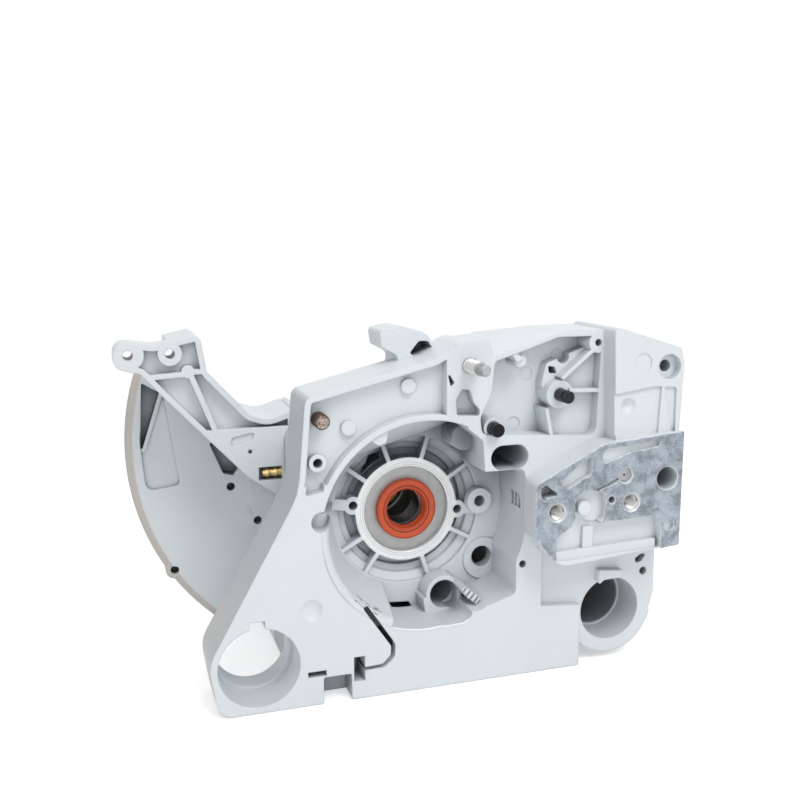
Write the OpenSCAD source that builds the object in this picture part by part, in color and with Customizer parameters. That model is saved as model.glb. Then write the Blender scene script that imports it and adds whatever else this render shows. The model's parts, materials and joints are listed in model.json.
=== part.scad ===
// Two-half crankcase of a chainsaw, with its bearings, seals, studs and screws
// Origin: middle of the clutch-side main bearing, on the crank axis
// +X towards the guide bar, +Y from the clutch side to the fan side, +Z up

/* [Main bearings] */
// Outer diameter of a main bearing
bearing_od = 40; // [38:0.5:41]
// Bore of a main bearing, which is the crankshaft's diameter
bearing_id = 17; // [15:0.5:18]
// Width of a main bearing
bearing_w = 12; // [10:0.5:13]
// Diameter of a bearing ball
ball_d = 6.75; // [5:0.25:7]
// Number of balls in a bearing
ball_count = 8; // [6:1:9]
// Distance between the middles of the two main bearings
bearing_span = 46; // [44:1:52]
// Running clearance between the moving pieces of a bearing
run_gap = 0.05; // [0.03:0.01:0.1]

/* [Shaft seals] */
// Outer diameter of a shaft seal
seal_od = 28; // [26:0.5:30]
// Width of a shaft seal
seal_w = 7; // [6:0.5:7]
// Thickness of the steel disc that carries the clutch-side seal
carrier_t = 3; // [2:0.5:4]
// How far the carrier disc lies behind the seal's face
carrier_set = 2.2; // [1.5:0.1:3]
// Gap between a seal's lip and the shaft's diameter, per side
lip_gap = 0.05; // [0.03:0.01:0.2]

/* [Crank chamber] */
// Radius of the crank chamber
chamber_r = 36; // [33:0.5:37]
// Width of the crank chamber
chamber_w = 30; // [26:1:32]
// Height of the cylinder flange above the crank axis
deck_z = 42; // [40:1:46]
// Length of the cylinder flange
deck_l = 78; // [74:1:84]
// Width of the opening under the cylinder
throat_w = 54; // [48:1:56]
// Thread diameter of a cylinder screw
deck_screw = 5; // [4:0.5:6]
// Spacing of the cylinder screws along the saw
deck_pitch_x = 66; // [64:1:68]
// Spacing of the cylinder screws across the saw
deck_pitch_y = 34; // [30:1:36]

/* [Clutch side] */
// Distance from the clutch bearing's middle to the cover face
cover_depth = 41.6; // [38:0.2:46]
// Radius of the clutch cavity
cavity_r = 46.3; // [44:0.1:47]
// Depth of the side wall behind the cover face
skirt_depth = 28; // [24:1:29]
// Distance from the clutch bearing's middle to the cavity floor
floor_depth = 13; // [12:0.5:15]
// Outer diameter of the machined ring round the bearing
boss_od = 48.4; // [46:0.2:52]
// Depth of the cast pockets round that ring
rib_pocket_depth = 8; // [4:0.5:9]
// Outer radius of the cast pockets
rib_pocket_r = 34.5; // [31:0.5:38]
// Thickness of the ribs between the pockets
rib_t = 2; // [1.5:0.1:3]
// Casting wall thickness
wall = 3.5; // [3:0.1:4]
// Width of the raised rim round the brake channel
rim_t = 2.6; // [2:0.1:3.5]
// Depth of the brake channel
channel_depth = 6; // [4:0.5:8]
// Depth of the deep part of the brake pocket
pocket_depth = 12; // [8:0.5:14]

/* [Bar pad] */
// How far the front block stands out of the cover face
block_proud = 9.7; // [7:0.1:12]
// How far the machined pad stands out of the front block
pad_proud = 3.9; // [2:0.1:6]
// Distance between the two bar stud holes
stud_pitch = 36.2; // [33:0.1:38]
// Thread diameter of the bar studs
bar_thread = 8; // [7:0.5:10]
// Depth of the bar stud holes
bar_hole_depth = 18; // [12:1:20]
// Diameter of the tensioner bore in the pad
tension_bore = 10.4; // [8:0.2:11]

/* [Buffer bores] */
// Diameter of the rear buffer bore
rear_bore = 34.6; // [32:0.2:35.6]
// Diameter of the front buffer bore
front_bore = 30; // [27:0.5:31]
// Depth of the wide part of a buffer bore
bore_depth = 17; // [12:1:19]
// Step between the wide and the narrow part of a buffer bore
bore_step = 1.4; // [1:0.1:2]

/* [Fan side] */
// Distance from the parting plane to the rear plate's inner face
plate_depth = 35; // [32:1:38]
// Thickness of the rear plate
plate_t = 4; // [3:0.5:5]
// Radius of the rear plate's curved edge
plate_r = 120; // [116:1:124]
// Thickness of the rear arm
arm_t = 14; // [10:1:18]
// Radius of the flywheel recess
fan_r = 58; // [54:1:60]
// Depth of the arm's cast pockets
arm_pocket = 5.5; // [3:0.5:8]
// Thickness of the gasket between the halves
gasket_t = 0.5; // [0.3:0.1:0.8]

/* [Fasteners] */
// Thread diameter of a crankcase screw
case_screw = 5; // [4:0.5:6]
// Length of a crankcase screw under its head
case_screw_l = 26; // [22:1:30]
// Head diameter of a crankcase screw
case_head = 9; // [8:0.5:10]
// Thread diameter of the studs on the clutch side
stud_d = 6; // [5:0.5:6.5]
// Outer diameter of a locating sleeve
sleeve_d = 7; // [6:0.5:7.5]
// Length of a locating sleeve
sleeve_l = 12; // [10:1:14]
// Outer diameter of the hose nipple
nipple_d = 4.4; // [4:0.2:5]
// Length of the hose nipple
nipple_l = 14; // [12:1:16]

/* [Hidden] */
$fn = 64;
cut = 1;

// Planes along the crank axis
near_y = -cover_depth;
block_y = near_y - block_proud;
pad_y = block_y - pad_proud;
skirt_y = near_y + skirt_depth;
floor_y = -floor_depth;
channel_y = near_y + channel_depth;
pocket_y = near_y + pocket_depth;
part_y = bearing_span / 2;
clutch_face_y = part_y - gasket_t / 2;
fan_face_y = part_y + gasket_t / 2;
chamber_y0 = part_y - chamber_w / 2;
chamber_y1 = part_y + chamber_w / 2;
plate_y = part_y + plate_depth;
far_y = plate_y + plate_t;
fan_boss_y = bearing_span + bearing_w / 2 + seal_w;

// Plan points, as [x, z]
base_z = -74;
rear_bore_at = [-73.8, -53.9];
front_bore_at = [91.8, -49.8];
front_ring_y = near_y + 4;
front_ring_r = front_bore / 2 + 6.4;
rear_stud_at = [54.7, 4.7];
front_stud_at = rear_stud_at + [stud_pitch, 1.4];
tension_at = [108.8, 15.7];
plug_at = [87.6, 18.8];
cover_stud_at = [-45.6, 48.8];
band_stud_at = [19, 68.8];
lever_pin_at = [30.5, 40.8];
channel_pads_at = [[-33.1, 44.5], [-6.9, 60.7]];
channel_screw_at = [-46.9, 30.9];
spring_pin_at = [62, 53.9];
pocket_screw_at = [79.8, 76.2];
rim_lug_at = [43.4, 69.3];
nipple_at = [-57, 12.6];
plate_centre = [0, 20];
screw_boss_r = case_head / 2 + 2.6;
low_screw_z = base_z + 7;
case_screws_at = [[-48, low_screw_z], [-4, low_screw_z], [44, low_screw_z], [105, -22],
    [96, 25], [44, 26], [-41.5, 33]];
sleeves_at = [[-43.5, -8], [42, 34]];
fan_floor_y = far_y - 8;
case_head_y = fan_face_y + case_screw_l - 14;
nipple_y = fan_face_y + 3;
arm_holes_at = [[-117.7, 71], [-99.4, 71]];
arm_hole = 4.4;
plate_holes_at = [[-69.7, -1.4], [-98.9, -42.2]];
plate_post = 5;
plate_pockets = [[[-110.9, 53.5, 0.6], [-102.6, 48.2, 0.6], [-113, 17, 0.6]],
    [[-79.6, 21.5, 0.6], [-73.2, 5.6, 0.8], [-68.2, 4.4, 0.8], [-64, 10, 0], [-70, 24, 0]]];
disc_hole_at = [-57.8, -17.9];
far_holes_at = [[100, 36], [72, -24]];
cover_hole = 4.2;

band_boss_r = 10.2;
ceiling_tilt = 16;
ceiling_z = 31.5;
pump_at = [14.1, -38.3];
pump_r = 6.6;
adjuster_at = [33.8, 2.2];
oil_feed_at = [36.6, -26];
obround_at = [[34.7, 27.6], [41.4, 27.6]];
scallop_at = [-46.2, 6.3];
face_lug_at = [45.1, -21.7];
web_y = floor_y + 5;
hook_y0 = skirt_y - 8;
disc_y = fan_floor_y - wall;

// Cast slope that fills the lower left of the cavity
slope_from = 170;
slope_to = 250;
slope_foot = rib_pocket_r + 0.7;
slope_rim = cavity_r - 3.3;
slope_drop = 0.8;

// Marks that the ejector pins left, and their depth
pin_mark = 0.35;
pocket_marks_at = [[50.6, 62.3], [65.6, 69.9], [44.9, 40]];

// Material and finish colours
paint = [0.87, 0.89, 0.9];
steel = [0.66, 0.66, 0.66];
dark_steel = [0.2, 0.2, 0.21];
seal_orange = [0.8, 0.3, 0.18];
brass = [0.8, 0.66, 0.36];
rust = [0.45, 0.33, 0.26];

// Solid between two planes across the crank axis, from a flat shape in x and z
module slab(y0, y1) {
    translate([0, y1, 0]) rotate([90, 0, 0]) linear_extrude(y1 - y0) children();
}

// Round bar along the crank axis
module rod(at, r, y0, y1) {
    translate([at[0], y1, at[1]]) rotate([90, 0, 0]) cylinder(r = r, h = y1 - y0);
}

// Tapered round bar along the crank axis
module cone_rod(at, r0, r1, y0, y1) {
    translate([at[0], y0, at[1]]) rotate([-90, 0, 0]) cylinder(r1 = r0, r2 = r1, h = y1 - y0);
}

// Solid of revolution about the crank axis, from a flat shape in radius and y
module turned(at = [0, 0]) {
    translate([at[0], 0, at[1]]) rotate([-90, 0, 0]) rotate_extrude() children();
}

// Part of a solid of revolution, between two plan angles
module turned_part(a0, a1) {
    rotate([-90, 0, 0]) rotate(-a1) rotate_extrude(angle = a1 - a0) children();
}

// Straight bar between two plan points
module bar_2d(a, b, t) {
    d = b - a;
    translate(a) rotate(atan2(d[1], d[0])) translate([0, -t / 2]) square([norm(d), t]);
}

function unit(v) = v / norm(v);

// Points of one rounded corner at b, between a and c
function corner(a, b, c, r) =
    let (u = unit(a - b), w = unit(c - b), half = acos(u * w) / 2,
        turn = cross(u, w) > 0 ? -1 : 1, sweep = 180 - 2 * half,
        steps = max(2, ceil(sweep / 14)), centre = b + unit(u + w) * r / sin(half),
        from = b + u * r / tan(half) - centre)
    [for (i = [0:steps]) let (t = turn * sweep * i / steps)
        centre + [from[0] * cos(t) - from[1] * sin(t), from[0] * sin(t) + from[1] * cos(t)]];

// Closed outline through points [x, z, corner radius]
function rounded(p) = [for (i = [0:len(p) - 1])
    let (n = len(p), a = p[(i + n - 1) % n], b = p[i], c = p[(i + 1) % n])
    each (b[2] == 0 ? [[b[0], b[1]]]
        : corner([a[0], a[1]], [b[0], b[1]], [c[0], c[1]], b[2]))];

module outline(p) {
    polygon(rounded(p));
}

// Clutch side half

// Whole cover face, as the clutch cover meets it
module face_outline() {
    outline([[-91, base_z, 7], [-94.6, -50, 14], [-55.8, 19, 30], [-52.2, 58.6, 4],
        [3.5, 72.1, 5], [13, 77, 4], [32, 80, 20], [62, 82, 20], [84, 82, 2],
        [114, 72.6, 3], [115, 37, 2], [115, -16, 2], [111.5, -24, 2], [110.5, -46, 6],
        [98, -50, 0], [74.3, -50, 0], [74.3, base_z, 1],
        [-34.2, base_z, 1], [-34.2, -62, 1], [-46.6, -62, 1], [-46.6, base_z, 1]]);
}

// Body behind the cavity, tank and chamber, which meets the fan side half
module case_outline() {
    outline([[-55.6, base_z, 3], [-55.2, -36, 12], [-49, -12, 20], [-48.5, 30, 8],
        [-deck_l / 2 - 3, deck_z, 3], [deck_l / 2 + 3, deck_z, 3], [50, 34, 6],
        [102, 32, 8], [112, 20, 8], [112, -46, 20], [98, -70, 14], [84, base_z, 4]]);
}

module cavity_outline() {
    difference() {
        circle(cavity_r);
        outline([[26.5, 22, 0], [60, 22, 0], [60, 60, 0], [20, 60, 0], [18.5, 41.5, 0],
            [25.4, 36, 3]]);
    }
    outline([[0, -41, 0], [25, -41, 0], [28, -39.4, 1], [42, -35.2, 3], [41.6, -8, 1.5],
        [cavity_r - 0.8, -6.4, 1], [cavity_r - 0.8, 22, 3], [0, 22, 0]]);
    // Rim bulges down below the pump socket
    outline([[0, -40, 0], [8, -46.2, 3], [17, -45.8, 3], [20.9, -43, 1], [21.2, -38, 0]]);
}

// Sloping ceiling over the crank chamber
module cavity_ceiling() {
    intersection() {
        rod([0, 0], cavity_r + 1, near_y + 1, floor_y + 1);
        rotate([0, -ceiling_tilt, 0]) translate([-60, 0, 0]) rotate([90, 0, 90])
            linear_extrude(120) polygon([[floor_y + 1, ceiling_z], [floor_y + 1, 60],
                [near_y + 1, 60], [near_y + 1, ceiling_z + 14.6]]);
    }
}

// Oil pump socket, bosses and rim pieces that stand in the cavity
module cavity_bosses() {
    rod(pump_at, pump_r + 1.9, floor_y - 11, floor_y + 1);
    slab(floor_y - 11, floor_y + 1) outline([[pump_at[0] - 10, pump_at[1] - 1, 1],
        [pump_at[0] - 8, pump_at[1] - 14, 0], [pump_at[0] + 12, pump_at[1] - 14, 0],
        [pump_at[0] + 8.4, pump_at[1], 0]]);
    rod(adjuster_at, 6, floor_y - 5, floor_y + 1);
    rod(oil_feed_at + [1, -1], 10, floor_y - 0.9, floor_y + 1);
    // Rounded lobe that hangs under the ceiling
    rod([22.5, 34.8], 6, floor_y - 14, floor_y + 1);
    // Toothed lip beside the pump socket
    difference() {
        slab(near_y + 6, floor_y + 1) bar_2d([18.6, -32.6], [26.4, -39], 3.4);
        for (i = [0:3]) translate([19.6 + 1.9 * i, near_y + 5, -33.4 - 1.6 * i]) rotate([0, 39, 0])
            translate([-0.5, 0, -3]) cube([1, 3, 6]);
    }
    turned_part(slope_from, slope_to) polygon([[slope_foot, floor_y + 1],
        [slope_foot, floor_y - 0.5], [slope_rim, near_y + slope_drop + 1.4],
        [slope_rim + 1.4, near_y + slope_drop], [cavity_r + 1, near_y + slope_drop],
        [cavity_r + 1, floor_y + 1]]);
    // Tab under the rim at the upper left
    slab(near_y + 1.6, near_y + 10) outline([[-23.8, 38.6, 0], [-21, 36.6, 1],
        [-17.6, 37.6, 1], [-16.6, 44, 0], [-22, 44, 0]]);
}

module cavity_holes() {
    rod(pump_at, pump_r, floor_y - 30, floor_y + 16);
    rod(adjuster_at, 2.6, floor_y - 6, floor_y + 12);
    rod(oil_feed_at, 5, floor_y - cut, floor_y + 16);
    slab(floor_y - cut, floor_y + 14) outline([[-8.8, -43.6, 0], [0.9, -44.4, 0],
        [4.4, -50, 0], [-4.9, -50, 0]]);
    // Deep window at the upper left, outside the machined ring
    slab(floor_y - cut, chamber_y0 - 1.5) difference() {
        outline([[-16.6, 25.2, 0.5], [-10.9, 27, 0.5], [-9.4, 20, 0.5], [-19.4, 16, 0.5]]);
        circle(boss_od / 2 + 0.7);
    }
    slab(near_y - cut, floor_y + 15) {
        for (at = obround_at) translate(at) circle(5.5);
        bar_2d(obround_at[0], obround_at[1], 11);
    }
    rod(scallop_at, 4.4, near_y - cut, near_y + 8);
    rod(face_lug_at, 1.7, near_y - cut, near_y + 14);
    // Window with two bars in the right wall
    difference() {
        translate([cavity_r - 2, near_y + 6, 2.4]) cube([6, 10, 6.6]);
        for (y = [9, 12.4]) translate([cavity_r, near_y + y, 2]) cube([6, 1.2, 8]);
    }
    // Open lower side of the pump socket
    slab(near_y - cut, floor_y - 4) hull() {
        translate(pump_at + [2, -2]) circle(4.6);
        translate(pump_at + [3.2, -3.6]) circle(3.3);
    }
}

// Slots, gap and dimple in the cover face
module face_slots() {
    slab(near_y - cut, near_y + 14) {
        outline([[-29, -33.4, 0.6], [-26.2, -33.6, 0.6], [-14.6, -51.2, 2], [-14.8, -57, 4],
            [-19.4, -61.2, 3], [-29.6, -61.7, 0], [-29.6, -60, 0], [-20.4, -59.6, 2],
            [-16.6, -55.8, 3], [-16.6, -51.8, 1]]);
        translate([-33.2, -66]) square([4.9, 11.2]);
    }
    slab(near_y - cut, near_y + 10) translate([-53.3, -61.3]) square([8, 2.5]);
    translate([-51.3, near_y - 5.4, -31.4]) sphere(7.2);
}

// Step under the bar pad, round the front buffer bore
module front_recess() {
    slab(near_y - cut, front_ring_y) difference() {
        polygon([[54.6, -12], [125, -12], [125, -80], [74.6, -80], [74.6, -44.6], [54.6, -42.6]]);
        // Lip over the bore
        outline([[83.8, -29, 0.6], [96.7, -30.4, 0.6], [95.2, -33.8, 0.6], [86.4, -34, 0.6],
            [83.6, -36.2, 0.6]]);
    }
}

// Flange right of the bore, with its lug
module front_flange() {
    slab(front_ring_y, skirt_y) outline([[96, -18, 0], [114.8, -18, 1], [115.2, -44, 3],
        [113, -52, 1], [113.4, -53.4, 0.6], [112.2, -57.8, 1], [100, -60, 0]]);
}

module front_flange_cuts() {
    slab(front_ring_y - cut, front_ring_y + 8) outline([[104.6, -26.8, 0.6], [105.1, -29.1, 0.6],
        [108, -28.6, 1], [110.6, -25.1, 0.6], [107.8, -24.9, 1]]);
    rod([109.2, -33.4], 1.9, front_ring_y - cut, front_ring_y + 9);
}

// Round machined ring, ears and ribs round the bearing seat
module rib_pockets() {
    ribs = [33, 73, 110, 143, 209, 235, 288, 332];
    difference() {
        turned() polygon([[boss_od / 2, floor_y - cut], [boss_od / 2, floor_y + rib_pocket_depth],
            [rib_pocket_r - 7, floor_y + rib_pocket_depth],
            [rib_pocket_r - 6.6, floor_y + rib_pocket_depth - 2.4],
            [rib_pocket_r - 4, floor_y + rib_pocket_depth - 2.8],
            [rib_pocket_r - 3.4, floor_y + rib_pocket_depth - 4.4],
            [rib_pocket_r, floor_y + 2], [rib_pocket_r, floor_y - cut]]);
        for (a = ribs) slab(floor_y - 2 * cut, floor_y + rib_pocket_depth + cut)
            bar_2d([20 * cos(a), 20 * sin(a)], [38 * cos(a), 38 * sin(a)], rib_t);
        for (at = ear_at) slab(floor_y - 2 * cut, floor_y + rib_pocket_depth + cut) {
            translate(at) circle(4.2);
            bar_2d(at * 0.8, at * 1.5, 5);
        }
    }
}

ear_at = [[-25.2, 3.8], [24.8, -2.2]];

module rear_bore_2d(extra) {
    translate(rear_bore_at) circle(rear_bore / 2 + extra);
    if (extra <= 0) translate(rear_bore_at + [-3.8, rear_bore / 2 - 3]) square([6.6, 6]);
}

module channel_outline() {
    difference() {
        offset(delta = -rim_t) face_outline();
        circle(cavity_r + rim_t);
        translate([-120, -100]) square([240, 122]);
        translate([8.6, 0]) square([120, 100]);
        translate([-60, 22]) rotate(-20) translate([-20, -20]) square([36, 18]);
    }
    outline([[-53, 17.8, 1], [-51.4, 27, 1], [-44.4, 25.9, 1], [-45.2, 19.4, 1]]);
}

// Round pads on the channel's floor, and the screw boss under the stud
module channel_pads() {
    for (at = channel_pads_at) rod(at, 3.3, channel_y - 2, channel_y + cut);
    rod(channel_screw_at, 3.8, channel_y - 3.6, channel_y + cut);
}

module pocket_outline() {
    outline([[25, 38.5, 3], [79.8, 34.6, 4], [81.4, 79.2, 2], [60, 79.4, 8], [45, 74.4, 2],
        [30.5, 70, 2], [29, 56, 4], [24, 46, 4]]);
}

module pocket_high_outline() {
    outline([[61, 30, 0], [90, 30, 0], [90, 79, 0], [57.5, 67.2, 2], [55.3, 58.5, 3],
        [58.6, 47.6, 3]]);
}

module brake_pocket() {
    difference() {
        slab(near_y - cut, pocket_y) pocket_outline();
        slab(channel_y, pocket_y + cut) pocket_high_outline();
        slab(near_y - 2 * cut, pocket_y + cut) {
            bar_2d([78.6, 74], [62.4, 60.9], 1.8);
            bar_2d([66, 55.6], [82, 54.9], 1.8);
            bar_2d([55.4, 48], [58.5, 33.5], 1.8);
            translate(pocket_screw_at) circle(4.6);
        }
        rod(spring_pin_at, 6.4, near_y + 1, pocket_y + cut);
        rod(lever_pin_at, 4.5, near_y + 1, pocket_y + cut);
        rod(rim_lug_at, 2.7, near_y + 2, pocket_y + cut);
        slab(near_y + 0.6, pocket_y + cut) outline([[36, 79, 0], [41.6, 79, 0], [41.6, 72.6, 1],
            [rim_lug_at[0] + 1, 70.6, 0], [rim_lug_at[0] - 2, 68.8, 0], [37.4, 74, 1]]);
    }
    rod(pocket_screw_at, 1.6, near_y - cut, near_y + 11);
    for (at = pocket_marks_at) rod(at, 3, near_y, pocket_y + pin_mark);
    // Slot above the spring pin's boss
    slab(near_y - cut, near_y + 15) outline([[58.4, 66.2, 0.6], [61.8, 65.4, 0.6],
        [62.8, 62.4, 0.6], [58.9, 62.8, 0.6]]);
}

// Two small pockets in the column left of the band stud
module column_pockets() {
    slab(near_y - cut, channel_y) outline([[8.6, 67.4, 0.5], [12.2, 61.8, 0.5], [10.4, 60, 0.5]]);
    slab(near_y - cut, channel_y) outline([[13.3, 47.8, 1], [12.8, 54.2, 1], [15.5, 58.9, 1],
        [19.1, 58.4, 1], [21.2, 52.3, 1], [23.6, 49.9, 1], [23.7, 46.9, 1]]);
}

module front_block() {
    slab(block_y, skirt_y) outline([[82.2, 84.1, 2], [115.7, 73.6, 2], [117.3, 66.4, 4],
        [115.8, 30, 2], [84.4, 30, 2]]);
}

// Counterbored screw hole, dimple and stepped lower face of the front block
module front_block_cuts() {
    rod([110.1, 65.4], 5.6, block_y - cut, block_y + 4);
    rod([110.1, 65.4], 2.7, block_y - cut, skirt_y + cut);
    translate([90.6, block_y - 0.8, 48.5]) sphere(4.2);
    slab(block_y - cut, block_y + 1.2) difference() {
        outline([[82, 54.1, 0], [103.2, 56.9, 1], [114, 56, 1], [114, 36, 0], [82, 36, 0]]);
        outline([[106.6, 57.4, 0], [107.9, 57.4, 0], [112.1, 35.8, 0], [105.4, 35.8, 0]]);
    }
    rod([96.8, 67.7], 4.1, block_y - cut, block_y + pin_mark);
}

module pad_outline() {
    outline([[116.4, 36.8, 1], [116.2, -15.9, 1], [57, -20.5, 9], [44.6, -6, 12],
        [44.2, 17.6, 4], [76, 33.2, 6]]);
}

// Hole in the milled pad, with a chamfered mouth
module pad_hole(at, r, chamfer, depth) {
    rod(at, r, pad_y - cut, pad_y + depth);
    cone_rod(at, r + chamfer + cut, r, pad_y - cut, pad_y + chamfer);
}

module pad_cuts() {
    for (at = [rear_stud_at, front_stud_at]) pad_hole(at, bar_thread * 0.425, 0.9, bar_hole_depth);
    pad_hole(tension_at, tension_bore / 2, 0.5, 22);
    pad_hole(plug_at, 3.4, 0.5, 12);
    pad_hole([81.3, 8.1], 1.6, 0.4, 12);
    rod([57.5, -5.9], 1.4, pad_y - cut, pad_y + 16);
    // Tray with its lower ledge and rib
    difference() {
        slab(pad_y - cut, pad_y + 5) outline([[54.6, -17.4, 2], [54.6, -6.4, 2], [61.6, -2.4, 1],
            [63.4, 2, 0], [72, -1.6, 1], [104.6, -0.8, 2], [106.4, -8, 2], [106.6, -16.3, 1],
            [60, -17.7, 2]]);
        slab(pad_y + 2.4, pad_y + 5 + cut) outline([[50, -14, 0], [105.2, -12.2, 0.8],
            [105.4, -20, 0], [50, -20, 0]]);
        slab(pad_y + 3.2, pad_y + 5 + cut) outline([[68.9, -3.4, 1], [74, -3.8, 1], [74.2, -13.5, 0],
            [68.9, -13.5, 0]]);
    }
    // Lower strip, which the cutter leaves painted
    slab(pad_y - cut, pad_y + 1) outline([[54.6, -16.4, 0], [107, -15, 0], [107, -24, 0],
        [54.6, -24, 0]]);
    rod([110.6, -6.2], 2.7, pad_y - cut, pad_y + 2.2);
    // Long pocket, groove, slot to the plug's hole and three-sided pocket
    slab(pad_y - cut, pad_y + 4) outline([[55.1, 18.3, 1], [66.6, 26.9, 1], [71, 27.6, 1],
        [71.1, 20.6, 2], [59.4, 14.8, 1]]);
    slab(pad_y - cut, pad_y + 2.2) outline([[77, 25, 1], [75.6, 28.2, 1], [77.6, 31.4, 1.5],
        [103.8, 33.4, 1], [104.8, 30.8, 1], [89.6, 29, 1], [80.3, 25.8, 1]]);
    slab(pad_y - cut, pad_y + 2.4) outline([[72.6, 13.6, 0.4], [74.4, 12.6, 0.4], [86, 17, 0],
        [85, 18.8, 0]]);
    slab(pad_y - cut, pad_y + 7) outline([[46.9, 16.6, 1], [49.4, 17.4, 0.6], [55.6, 12.6, 0.6],
        [49.8, 11.6, 0.5], [48.4, 10, 0.5], [46.8, 13, 0.6]]);
    // Recess round the cast pin
    difference() {
        slab(pad_y - cut, pad_y + 4) outline([[62.8, 11.6, 4], [69.1, 13.8, 3], [77.4, 12.2, 2],
            [78.4, 7.2, 3], [77.8, 0, 2], [73.4, -2.4, 1], [63.6, 1, 1]]);
        rod([68.3, 5.4], 3.3, pad_y + 0.6, pad_y + 4 + cut);
    }
}

module clutch_side_half() {
    color(paint) difference() {
        union() {
            difference() {
                slab(near_y, skirt_y) face_outline();
                front_recess();
            }
            front_flange();
            slab(skirt_y - wall, clutch_face_y) case_outline();
            front_block();
            slab(pad_y, skirt_y) pad_outline();
            rod(front_bore_at, front_ring_r, front_ring_y, clutch_face_y);
            rod(band_stud_at, band_boss_r, near_y, skirt_y);
            rod([0, 0], cavity_r + wall, near_y, web_y);
            translate([-48, pocket_y, base_z]) cube([15, wall, 14]);
            rod(cover_stud_at, 5, channel_y, skirt_y);
            hook_lug();
        }
        // Clutch cavity, with its cast pockets
        difference() {
            slab(near_y - cut, floor_y) cavity_outline();
            cavity_ceiling();
            cavity_bosses();
        }
        rib_pockets();
        // Bearing, seal and crank web spaces
        rod([0, 0], bearing_od / 2, floor_y - cut, bearing_w / 2);
        rod([0, 0], bearing_od / 2 - 4, -cut, chamber_y0 + cut);
        rod([0, 0], chamber_r, chamber_y0, part_y + cut);
        translate([-throat_w / 2, chamber_y0, 0]) cube([throat_w, part_y, deck_z + cut]);
        for (at = ear_at) rod(at, 2, floor_y - cut, floor_y + 9);
        difference() {
            slab(near_y - cut, channel_y) channel_outline();
            channel_pads();
        }
        rod(channel_screw_at, 2, near_y - cut, channel_y + 9);
        brake_pocket();
        column_pockets();
        pad_cuts();
        // Buffer bores
        slab(near_y - cut, near_y + bore_depth) rear_bore_2d(0);
        rod(rear_bore_at, rear_bore / 2 - bore_step, near_y, skirt_y + 20);
        front_flange_cuts();
        rod(front_bore_at, front_bore / 2, front_ring_y - cut, front_ring_y + bore_depth);
        rod(front_bore_at, front_bore / 2 - bore_step, near_y, front_ring_y + 2.7 * bore_depth);
        front_block_cuts();
        // Top of the cover face falls away towards the clutch side
        translate([29.6, near_y, 72.4]) rotate([13, -16, 0]) translate([0, -20, 0])
            cube([60, 80, 30]);
        rear_spaces();
        slab(near_y + 18, part_y + cut) tank_outline();
        slab(web_y, part_y + cut) hollow_outline();
        cavity_holes();
        face_slots();
        stud_holes();
        for (at = case_screws_at) rod(at, case_screw / 2, clutch_face_y - 16, part_y + cut);
        for (at = sleeves_at) rod(at, sleeve_d / 2, clutch_face_y - sleeve_l / 2, part_y + cut);
        for (x = [-1, 1]) translate([x * deck_pitch_x / 2, part_y - deck_pitch_y / 2, deck_z - 16])
            cylinder(r = deck_screw * 0.42, h = 16 + cut);
    }
}

// Hollows behind the cover face, open to the rear
module rear_spaces() {
    slab(channel_y + wall, skirt_y + cut) difference() {
        offset(delta = -wall) face_outline();
        circle(cavity_r + wall);
        rear_bore_2d(wall);
        case_outline();
        translate(band_stud_at) circle(band_boss_r - wall);
        translate(cover_stud_at) circle(5);
        translate(channel_screw_at) circle(4);
        translate([22, -100]) square([120, 200]);
        translate([-60, base_z]) square([60, 30]);
    }
    slab(pocket_y + wall, skirt_y + cut) difference() {
        offset(delta = -wall) face_outline();
        circle(cavity_r + wall);
        case_outline();
        translate([-100, -100]) square([126, 250]);
        translate([-100, -100]) square([250, 142]);
        translate([82, 20]) square([wall, 100]);
    }
    slab(block_y + wall, skirt_y + cut) outline([[86.5, 46, 3], [86.5, 78, 3], [102, 73.5, 3],
        [102, 46, 3]]);
    // Lower hollow under the cavity
    slab(near_y + wall + 1, web_y + cut) difference() {
        outline([[-28, base_z + wall, 3], [78, base_z + wall, 8], [68, -48, 3], [-28, -48, 0]]);
        circle(cavity_r + wall);
        translate([14, -41]) circle(12);
        translate(front_bore_at) circle(front_ring_r);
    }
}

// Oil tank at the front, shared by both halves
module tank_outline() {
    difference() {
        offset(delta = -wall) case_outline();
        translate([-80, -80]) square([130, 160]);
        translate(front_bore_at) circle(front_bore / 2 + 6);
        for (at = case_screws_at) translate(at) circle(screw_boss_r);
    }
}

// Hollow round the crank chamber, closed by the other half
module hollow_outline() {
    difference() {
        offset(delta = -wall) case_outline();
        circle(cavity_r + 1);
        translate([50 - wall, -80]) square([100, 160]);
        translate([-60, 20]) square([160, 60]);
        translate(pump_at) circle(pump_r + 3);
        for (at = case_screws_at) translate(at) circle(screw_boss_r);
        for (at = sleeves_at) translate(at) circle(sleeve_d / 2 + 3);
    }
}

module stud_holes() {
    rod(band_stud_at, stud_d / 2, near_y - cut, near_y + 12);
    rod(lever_pin_at, stud_d / 2, near_y - cut, near_y + 13);
    rod(spring_pin_at, stud_d / 2 - 0.2, near_y - cut, near_y + 13);
    rod(cover_stud_at, stud_d / 2, near_y - cut, channel_y + 9);
}

// Hollow lug that rises behind the top edge
module hook_lug() {
    difference() {
        slab(hook_y0, skirt_y + 10) outline([[-13.9, 75.6, 1], [-15, 82.8, 2], [-6, 84.6, 6],
            [6, 81.4, 8], [14.5, 70, 2], [14.5, 60, 0], [-8.1, 60, 0], [-6.4, 71.6, 3]]);
        slab(hook_y0 - cut, skirt_y + 7) outline([[-1.4, 72.4, 1], [3, 77.8, 2], [7.4, 77.6, 2],
            [11.6, 70.4, 1], [6.8, 68.8, 1]]);
    }
}

// Fan side half

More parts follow.
